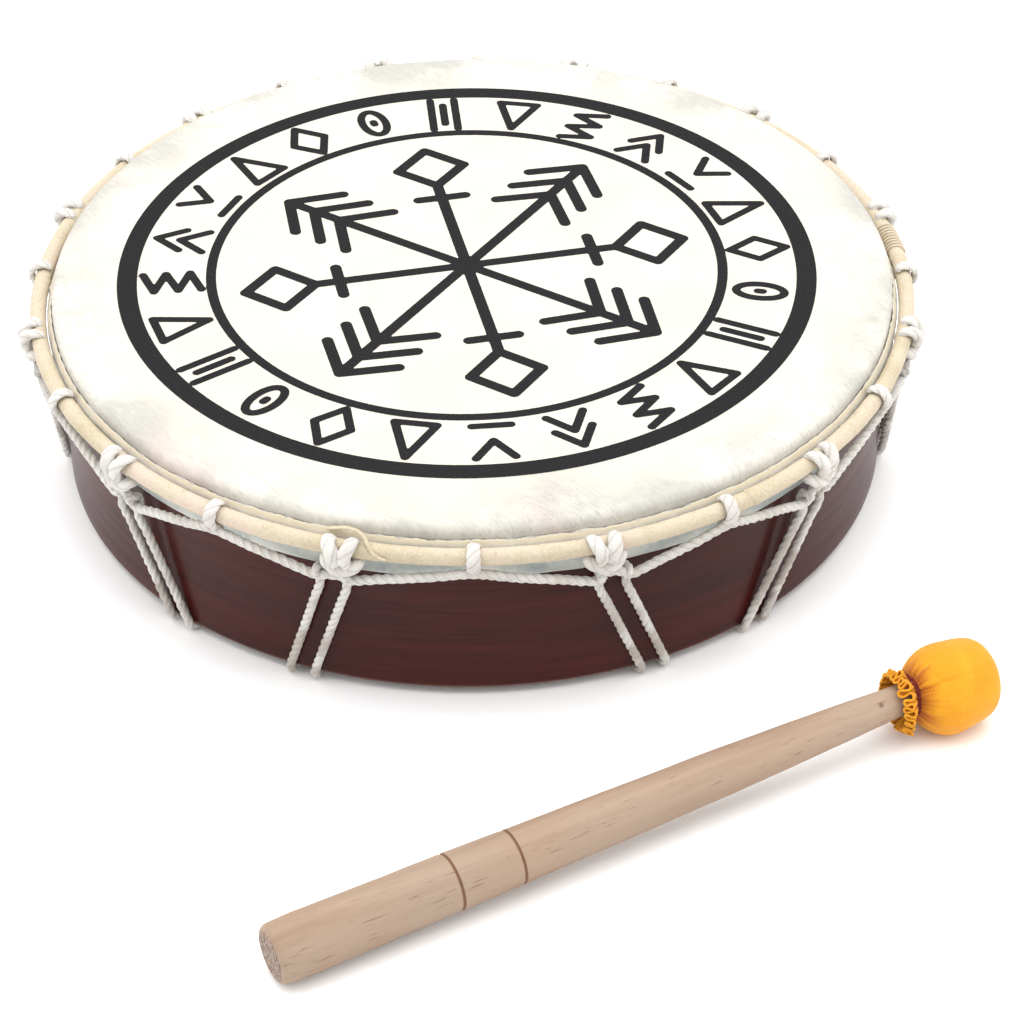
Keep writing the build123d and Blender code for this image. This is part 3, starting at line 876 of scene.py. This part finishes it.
def make_print():
    """The print, as one thin skin of ink that lies on the hide."""
    axis, field = ink_field()
    lift = HEAD_TOP + 0.12 * MM
    verts, corner, crossing, faces = [], {}, {}, []

    def at(x, y):
        verts.append(Vector((x + PRINT_CENTRE.x, y + PRINT_CENTRE.y, lift)))
        return len(verts) - 1

    def grid_point(i, j):
        if (i, j) not in corner:
            corner[i, j] = at(axis[i], axis[j])
        return corner[i, j]

    def edge_point(p, q):
        key = (p, q) if p < q else (q, p)
        if key not in crossing:
            (a, b), (c, d) = key
            share = field[a, b] / (field[a, b] - field[c, d])
            crossing[key] = at(axis[a] + (axis[c] - axis[a]) * share,
                               axis[b] + (axis[d] - axis[b]) * share)
        return crossing[key]

    inside = field < 0
    touched = inside[:-1, :-1] | inside[1:, :-1] | inside[1:, 1:] | inside[:-1, 1:]
    for i, j in np.argwhere(touched):
        around = [(i, j), (i + 1, j), (i + 1, j + 1), (i, j + 1)]
        outline = []
        for p, q in zip(around, around[1:] + around[:1]):
            if inside[p]:
                outline.append(grid_point(*p))
            if inside[p] != inside[q]:
                outline.append(edge_point(p, q))
        if len(outline) > 2:
            faces.append(tuple(outline))
    build("printed_pattern", verts, faces, INK, "drum", smooth=False, closed=False)


# ==== lacing ==================================================================================
def round_drum(points, closed=False, step=0.8 * MM):
    """Smooth line through (angle in degrees, radius, z), kept round the drum's axis."""
    in_metres = [(math.radians(a) * HOOP_R, r, z) for a, r, z in points]
    if closed:
        turn = FULL * HOOP_R
        wrapped = [(q[0] - turn, q[1], q[2]) for q in in_metres[-2:]] + in_metres
        wrapped += [(q[0] + turn, q[1], q[2]) for q in in_metres[:2]]
        line = [q for q in through(wrapped, step) if in_metres[0][0] <= q[0] < in_metres[0][0] + turn]
    else:
        line = through(in_metres, step)
    return [polar(q[1], math.degrees(q[0] / HOOP_R), q[2]) for q in line]


def next_station(i):
    """The station after this one, past 360 degrees after the last."""
    return STATIONS[(i + 1) % len(STATIONS)] + (360 if i == len(STATIONS) - 1 else 0)


def make_girdle():
    """Cord round the drum that the tension cords pull down and the knots and loops hold up."""
    points = []
    for i, station in enumerate(STATIONS):
        high = (station + next_station(i)) / 2
        low, low_z = leg_top(i, 1)
        low_again, low_again_z = leg_top((i + 1) % len(STATIONS), -1)
        low_again += 360 if i == len(STATIONS) - 1 else 0
        tilt = 0.7 * MM * wobble(station, 3.3)
        for side in (-1, 1):
            points.append((station + side * 1.15, GIRDLE_KNOT[0], GIRDLE_KNOT[1] + side * tilt))
        points.append((low + 0.1, GIRDLE_LEG[0], low_z))
        points += [span_point(low, low_z, high, share, tilt) for share in (0.33, 0.68)]
        points.append((high, *GIRDLE_LOOP))
        points += [span_point(low_again, low_again_z, high, share, -tilt) for share in (0.68, 0.33)]
        points.append((low_again - 0.1, GIRDLE_LEG[0], low_again_z))
    line = round_drum(points, closed=True)
    strand = cord_mesh(line, CORD_R * 1.06, closed=True, seed=2.0)
    cord_piece("girdle", [strand], CORD, "drum", "girdle_cord")


def leg_top(i, side):
    """(angle, height) at which a station's tension cord pulls the girdle down."""
    turn, lift = LEG_SHIFTS.get(i, (0.0, 0.0))
    return STATIONS[i] + side * LEG_SPREAD + turn, GIRDLE_LEG[1] + lift


def span_point(low, low_z, high, share, bow):
    """Point of the girdle between a station and the loop beside it, a little out of line."""
    radius = GIRDLE_LEG[0] + (GIRDLE_LOOP[0] - GIRDLE_LEG[0]) * share
    height = low_z + (GIRDLE_LOOP[1] - low_z) * share
    return (low + (high - low) * share, radius - 0.6 * MM, height + bow)


def on_hoop(radius, around, across, station):
    """(angle, r, z) of a point round the hoop's section, across metres to one side."""
    r = HOOP_R + radius * math.cos(math.radians(around))
    z = HOOP_Z + radius * math.sin(math.radians(around))
    return (station + arc_angle(across, r), r, z)


def beside(station, across, r, z):
    """(angle, r, z) of a point given in millimetres, across to one side of a station."""
    return (station + arc_angle(across, r), r * MM, z * MM)


def make_knots():
    """Knots: two puffed lobes over the hoop and the wrap below them that gathers them."""
    # (angle round the hoop, height of the lobe's middle above it in mm, share of its spread)
    lobe_route = [(112, -0.6, 0.95), (92, 0.1, 1.0), (70, 1.0, 1.0), (42, 2.1, 0.86),
                  (12, 2.7, 0.62), (-16, 2.3, 0.42)]
    for i, lacing_station in enumerate(STATIONS):
        station = lacing_station + KNOT_SHIFTS.get(i, 0.0)
        random.seed(300 + i)
        strands = []
        lean = random.uniform(-0.7, 0.7)
        for side in (-1, 1):
            spread = side * random.uniform(4.1, 4.9) + lean
            points = [on_hoop(WRAP_R + lift * MM, around, spread * share * MM, station)
                      for around, lift, share in lobe_route]
            points.append(beside(station, 1.5 * side, 198.9, 75.2))
            points.append(beside(station, 1.0 * side, 196.9, 72.6))
            strands.append(cord_mesh(round_drum(points), 3.0 * MM, seed=10 * i + side,
                                     pitch=random.uniform(15, 24) * MM, around=22, groove=0.13,
                                     fuzz=0.10, flatten=lobe_shape))
        tilt = random.uniform(-0.8, 0.8)
        drop = random.uniform(-0.4, 0.4)
        wrap = [beside(station, across, r, z + drop + tilt * across / 8)
                for across, r, z in ((-5.2, 194.9, 75.0), (-6.9, 197.0, 76.2), (-5.9, 199.0, 75.3),
                                     (-2.9, 199.5, 73.3), (0.0, 199.6, 72.6), (2.9, 199.5, 73.3),
                                     (5.9, 199.0, 75.3), (6.9, 197.0, 76.2), (5.2, 194.9, 75.0))]
        strands.append(cord_mesh(round_drum(wrap), 2.9 * MM, seed=7 * i + 0.5, pitch=16 * MM,
                                 around=22, groove=0.13, fuzz=0.09, flatten=wrap_shape))
        cord_piece(f"knot_{i + 1:02d}", strands, CORD, "drum", "hoop_knots")


def lobe_shape(i, count):
    """A lobe is pressed flat where it comes from behind the hoop and swells in front of it."""
    share = i / count
    swell = math.sin(math.pi * min(1.0, 0.08 + share ** 1.25 * 0.95))
    return 0.88 + 0.20 * swell, 0.30 + 0.58 * swell


def wrap_shape(i, count):
    """The wrap is fullest at its middle."""
    swell = math.sin(math.pi * i / count)
    return 0.85 + 0.22 * swell, 0.72 + 0.25 * swell


def loop_shape(i, count):
    """A loop is pressed flat against the hoop, most at its two ends."""
    swell = math.sin(math.pi * i / count)
    return 1.12 + 0.12 * swell, 0.45 + 0.25 * swell


def make_loops():
    """Single loops halfway between the knots: a turn of cord over the hoop to the girdle."""
    for i, station in enumerate(STATIONS):
        random.seed(500 + i)
        middle = (station + next_station(i)) / 2
        lean = random.uniform(-1.5, 1.5)
        points = [on_hoop(WRAP_R + lift * MM, around, lean * around / 120 * MM, middle)
                  for around, lift in ((130, 0.7), (100, 1.2), (65, 1.6), (30, 1.8), (0, 1.8), (-28, 1.6))]
        points.append(beside(middle, -lean * 0.4, 198.7, 76.9))
        points.append(beside(middle, -lean * 0.5, 195.9, 75.6))
        points.append(beside(middle, -lean * 0.6, 194.6, 72.6))
        strand = cord_mesh(round_drum(points), 2.4 * MM, seed=31 * i, around=20, groove=0.14,
                           pitch=12 * MM, fuzz=0.09, flatten=loop_shape)
        cord_piece(f"hoop_loop_{i + 1:02d}", [strand], CORD, "drum", "hoop_loops")


def make_skin_strip():
    """Loose sliver of the hide's cut edge that has curled over the hoop beside a knot."""
    route = [(252.6, 190.6, 86.0), (254.2, 191.4, 88.0), (255.6, 192.2, 89.0), (256.8, 193.4, 88.6),
             (257.6, 195.2, 87.4), (258.1, 197.4, 86.0), (258.7, 199.0, 83.6), (259.6, 199.9, 81.9),
             (260.4, 200.1, 81.3)]
    points = [(angle, r * MM, z * MM) for angle, r, z in route]

    def ribbon(i, count):
        return 1.0 - 0.55 * i / count, 0.34

    strand = cord_mesh(round_drum(points), 1.3 * MM, step=0.5 * MM, around=12, pitch=60 * MM,
                       groove=0.0, fuzz=0.25, flatten=ribbon)
    cord_piece("loose_skin_strip", [strand], WOUND, "drum", None)


def tension_line(top_angle, top_z, edge_angle, ring_angle):
    """Route of one tension cord, from its turn round the girdle to its hitch on the ring."""
    bend = 3.5 * MM
    turn = [(199.1, 2.4), (196.9, 3.8), (193.8, 2.8), (193.0, -0.3), (194.6, -5.5)]
    top = [np.array(polar(r * MM, top_angle, top_z + rise * MM)) for r, rise in turn]
    edge = polar(EDGE_R, edge_angle, CORD_R)
    leg = [Vector(top[-1]).lerp(edge + Vector((0, 0, bend)), k / 6) for k in range(1, 7)]
    line = [Vector(q) for q in through(top + [np.array(q) for q in leg], 1.0 * MM)]
    for k in range(1, 9):
        a = math.radians(90 * k / 8)
        line.append(polar(EDGE_R - bend + bend * math.cos(a), edge_angle,
                          CORD_R + bend - bend * math.sin(a)))
    under_ring = polar(RING_R, ring_angle, CORD_R)
    start = line[-1]
    outward = (start - under_ring).normalized()
    line += [start.lerp(under_ring, k / 60) for k in range(1, 61)]
    hitch = RING_Z - CORD_R
    centre = under_ring + Vector((0, 0, hitch))
    for k in range(1, 25):
        a = math.radians(-90 - 300 * k / 24)
        line.append(centre + outward * hitch * math.cos(a) + Vector((0, 0, hitch * math.sin(a))))
    return line


def make_tension_cords():
    """The stations' pairs of cords, down the side, under the edge and to the hand ring."""
    pairs = {}
    for first, second, first_lean, second_lean in LACING_GROUPS:
        middle = (first + first_lean + second + second_lean) / 2
        for station, lean, ring_place in ((first, first_lean, -1.5), (second, second_lean, 0.5)):
            pairs[station % 360] = [
                tension_line(*leg_top(STATIONS.index(station % 360), side),
                             station + side * LEG_SPREAD + lean, middle + place * RING_CORD_PITCH)
                for side, place in ((-1, ring_place), (1, ring_place + 1))]
    for i, station in enumerate(sorted(pairs)):
        strands = [cord_mesh(line, CORD_R, seed=3.0 * i + k)
                   for k, line in enumerate(pairs[station])]
        cord_piece(f"tension_pair_{i + 1:02d}", strands, CORD, "drum",
                   f"tension_cords_{i + 1:02d}")


# ==== beater ==================================================================================
def beater_place():
    """Matrix that lays the beater, made along +X from its butt, where it lies."""
    return (Matrix.Translation(BEATER_BUTT) @ Matrix.Rotation(math.radians(BEATER_HEADING), 4, "Z")
            @ Matrix.Rotation(math.radians(-BEATER_RISE), 4, "Y"))


def head_place():
    """Matrix of the soft head, made along +X from its gather."""
    return (beater_place() @ Matrix.Translation(((GATHER_AT + HEAD_SHIFT) * MM, 0, 0))
            @ Matrix.Rotation(math.radians(HEAD_SWING), 4, "Z")
            @ Matrix.Rotation(math.radians(-HEAD_SINK), 4, "Y"))


def about_x(line, around, bulge=None):
    """Rows of a closed round mesh about X, with a point at each end."""
    verts = []
    for i, (x, r) in enumerate(line):
        for j in range(around):
            a = FULL * j / around
            dx, dr = bulge(i, x, r, a) if bulge else (0.0, 0.0)
            verts.append(Vector((x + dx, (r + dr) * math.cos(a), (r + dr) * math.sin(a))))
    faces = grid_faces(len(line), around)
    verts += [Vector((line[0][0], 0, 0)), Vector((line[-1][0], 0, 0))]
    last = (len(line) - 1) * around
    for j in range(around):
        faces.append((len(verts) - 2, (j + 1) % around, j))
        faces.append((len(verts) - 1, last + j, last + (j + 1) % around))
    return verts, [face[::-1] for face in faces]


def radius_at(profile, x):
    """Radius of a turned profile at x, smoothed between its points."""
    return float(np.interp(x, [p[0] for p in profile], [p[1] for p in profile]))


def make_stick():
    """Turned stick: rounded butt, two burned grooves and the marks of hand sanding."""
    line = [(0.0, 3.0), (0.0, 6.0), (0.05, STICK_FACE_R - 0.8)]
    for k in range(9):
        a = math.radians(90 * k / 8)
        line.append((0.15 + 3.4 * (1 - math.cos(a)), STICK_FACE_R + 3.1 * math.sin(a)))
    x = 5.0
    while x < STICK_PROFILE[-1][0]:
        groove = min(abs(x - g) for g in STICK_GROOVES)
        depth = 0.45 * max(0.0, 1 - groove / 0.5)
        line.append((x, radius_at(STICK_PROFILE, x) - depth - SLIMMER * x / STICK_PROFILE[-1][0]))
        x += 0.2 if groove < 1.2 else 1.5
    line = [(px * MM, pr * MM) for px, pr in line]

    def bulge(i, x, r, a):
        share = min(1.0, x / (3 * MM))
        dr = 0.22 * wobble(x * 25, math.cos(a), math.sin(a))
        dr += 0.07 * wobble(x * 120, 4 * math.cos(a), 4 * math.sin(a))
        dx = 0.25 * wobble(r * 900 * math.cos(a), r * 900 * math.sin(a)) if x < 0.1 * MM else 0.0
        return dx * MM, dr * share * MM

    verts, faces = about_x(line, 96, bulge)
    build("beater_handle", verts, faces, STICK, "beater", node="beater_stick",
          place=beater_place())


def head_line():
    """The head's outline from the gather to its end, as (distance, radius)."""
    knots = [(-1.2, 8.1), (0.6, 8.2), (2.6, 11.3), (6.0, 14.6), (10.0, 16.9), (15.4, 18.2),
             (22.6, 18.1), (28.4, 17.6), (32.6, 16.5), (35.6, 13.9), (37.2, 9.8), (37.9, 4.8)]
    return [(p[0] * MM, p[1] * MM) for p in through(knots, 0.55)]


def head_pleats():
    """Angle, depth and length of each pleat that runs from the binding."""
    random.seed(77)
    count = 34
    return [(FULL * (k + random.uniform(-0.3, 0.3)) / count, random.uniform(0.4, 1.0),
             random.uniform(2.6, 4.6) + 6.0 * random.random() ** 3) for k in range(count)]


def pleated(pleats, inset=0.0):
    """How far the cloth lies inside or outside the head's plain outline."""
    def bulge(i, x, r, a):
        dr = -inset
        for angle, size, long in pleats:
            off = (a - angle + math.pi) % FULL - math.pi
            if abs(off) < 0.25:
                fade = math.exp(-max(0.0, x) / (long * MM))
                dr -= 1.7 * size * fade * math.exp(-(off / 0.055) ** 2)
        full = min(1.0, max(0.0, x / (10 * MM)))
        dr += 0.7 * math.exp(-max(0.0, x) / (6 * MM))
        dr += full * 0.4 * wobble(x * 50, 1.4 * math.cos(a), 1.4 * math.sin(a))
        near_side = max(0.0, math.cos(a - math.radians(SAG_ANGLE))) ** 2
        dr += SAG * near_side * math.exp(-((x / MM - 15) / 11) ** 2)
        return 0.0, dr * MM
    return bulge


def make_head():
    """Stuffed cloth head: full and smooth, gathered into pleats at its binding."""
    line = head_line()
    verts, faces = about_x(line, 360, pleated(head_pleats()))
    resting = head_place()
    lifting = resting.inverted()
    for i, vert in enumerate(verts):
        point = resting @ Vector(vert)
        point.z = max(point.z, FLOOR_GAP + 0.2 * abs(min(0.0, point.z)))
        verts[i] = lifting @ point
    piece = build("beater_cloth", verts, faces, CLOTH, "beater", node="beater_cover",
                  place=head_place())


def make_stuffing():
    """Wool stuffing, just inside the cloth."""
    line = [(x, r) for x, r in head_line()[4:-2]]
    verts, faces = about_x(line, 96, pleated([], inset=2.0))
    piece = build("beater_stuffing", verts, faces, felt(), "beater", node="beater_padding",
                  place=head_place())


def make_frill():
    """Frill of the cover past its binding: a short collar of cloth in tight round folds."""
    rows, around, waves = 12, 1200, 19
    edge = []
    verts = []
    for side in (1, -1):
        for i in range(rows):
            share = i / (rows - 1)
            for j in range(around):
                a = FULL * j / around
                x1, y1 = math.cos(a), math.sin(a)
                uneven = 1 + 0.7 * wobble(3.1 * x1, 3.1 * y1, 9.0)
                phase = waves * a + 2.2 * wobble(1.6 * x1, 1.6 * y1, 2.0)
                swing = share ** 0.7 * uneven
                down = max(0.0, -y1)
                fold = (1.5 + 0.5 * down) * swing * math.sin(phase)
                x = -0.9 - (5.4 - 2.2 * down) * share ** 0.9 + fold
                x += 0.7 * share * wobble(4 * x1, 4 * y1, 4.0)
                r = 8.1 + (2.7 + 3.6 * down) * share ** 0.7 + 0.9 * fold
                r += 0.8 * share * wobble(3 * x1, 3 * y1, 8.0)
                turn = a - 0.062 * swing * math.sin(2 * phase)
                half = side * 0.32
                x += half * math.cos(phase) * min(1.0, swing)
                r += half * (1 - 0.4 * min(1.0, swing))
                verts.append(Vector((x, r * math.cos(turn), r * math.sin(turn))) * MM)
                if side == 1 and i == rows - 1:
                    edge.append(verts[-1])
    faces = grid_faces(rows, around) + [f[::-1] for f in grid_faces(rows, around, offset=rows * around)]
    for row in (0, rows - 1):
        for j in range(around):
            k = (j + 1) % around
            a, b = row * around + j, row * around + k
            c, d = a + rows * around, b + rows * around
            faces.append((a, c, d, b) if row == 0 else (a, b, d, c))
    build("beater_frill", verts, faces, CLOTH, "beater",
          place=head_place())
    hem, hem_faces, _ = cord_mesh(edge, 0.5 * MM, closed=True, step=0.35 * MM, around=10,
                                  groove=0.0, fuzz=0.12)
    build("beater_frill_hem", hem, hem_faces, CLOTH, "beater",
          place=head_place())


def make_binding():
    """Turns of thread that tie the cover to the stick."""
    turns = 7
    points = []
    for k in range(turns * 24 + 1):
        a = FULL * k / 24
        r = 8.55 + 0.3 * math.sin(2.3 * a) + 0.2 * math.sin(5.1 * a)
        x = -0.7 + 1.5 * k / (turns * 24) + 0.4 * math.sin(a + 0.4)
        points.append(Vector((x, r * math.cos(a), r * math.sin(a))) * MM)
    strand = cord_mesh(points, 0.36 * MM, step=0.5 * MM, around=8, pitch=1.6 * MM, strands=2,
                       groove=0.12)
    cord_piece("beater_thread", [strand], THREAD, "beater", "beater_binding",
               place=head_place())


# ==== studio ==================================================================================
def make_studio():
    """Plain pale floor, soft light all round and the camera."""
    half = 6.0
    floor_mesh = bpy.data.meshes.new("floor")
    corners = [(-half, -half, 0), (half, -half, 0), (half, half, 0), (-half, half, 0)]
    floor_mesh.from_pydata(corners, [], [(0, 1, 2, 3)])
    floor = bpy.data.objects.new("floor", floor_mesh)
    floor_mesh.materials.append(studio_floor())
    bpy.context.scene.collection.objects.link(floor)

    world = bpy.data.worlds.new("studio")
    world.use_nodes = True
    background = world.node_tree.nodes["Background"]
    background.inputs["Color"].default_value = (1.0, 1.0, 1.0, 1.0)
    background.inputs["Strength"].default_value = 0.97
    bpy.context.scene.world = world

    add_light("overhead", (0.0, 0.25, 2.2), (0, 0, 0.03), 3.0, 3.0, 64)
    add_light("left_panel", (-2.0, -0.3, 1.0), (0, -0.05, 0.05), 1.6, 1.4, 9)
    add_light("right_panel", (2.0, -0.3, 1.0), (0, -0.05, 0.05), 1.6, 1.4, 9)

    camera = bpy.data.cameras.new("camera")
    camera.lens = LENS
    camera.sensor_width = 36.0
    camera.clip_start = 0.05
    camera.clip_end = 50.0
    holder = bpy.data.objects.new("camera", camera)
    bpy.context.scene.collection.objects.link(holder)
    holder.matrix_world = (Matrix.Translation(CAMERA_PLACE)
                           @ Matrix.Rotation(math.radians(90 - CAMERA_PITCH), 4, "X")
                           @ Matrix.Rotation(math.radians(CAMERA_ROLL), 4, "Z"))
    bpy.context.scene.camera = holder
    bpy.context.scene.view_settings.view_transform = "Standard"


def add_light(name, place, target, width, height, power):
    """A rectangular soft light that faces a target."""
    light = bpy.data.lights.new(name, "AREA")
    light.shape = "RECTANGLE"
    light.size = width
    light.size_y = height
    light.energy = power
    holder = bpy.data.objects.new(name, light)
    bpy.context.scene.collection.objects.link(holder)
    holder.location = place
    aim = Vector(target) - Vector(place)
    holder.rotation_euler = aim.to_track_quat("-Z", "Y").to_euler()


def finish_cad_nodes():
    """CAD nodes that stay: the ring and the hidden hoop core."""
    for node, material in (("hand_ring", ring_steel()), ("head_hoop", cane())):
        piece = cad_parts[node]
        piece.data.materials.clear()
        piece.data.materials.append(material)


make_studio()
finish_cad_nodes()
make_frame()
make_hide()
make_hoop()
make_splice()
make_print()
make_girdle()
make_knots()
make_loops()
make_skin_strip()
make_tension_cords()
make_stick()
make_head()
make_stuffing()
make_frill()
make_binding()
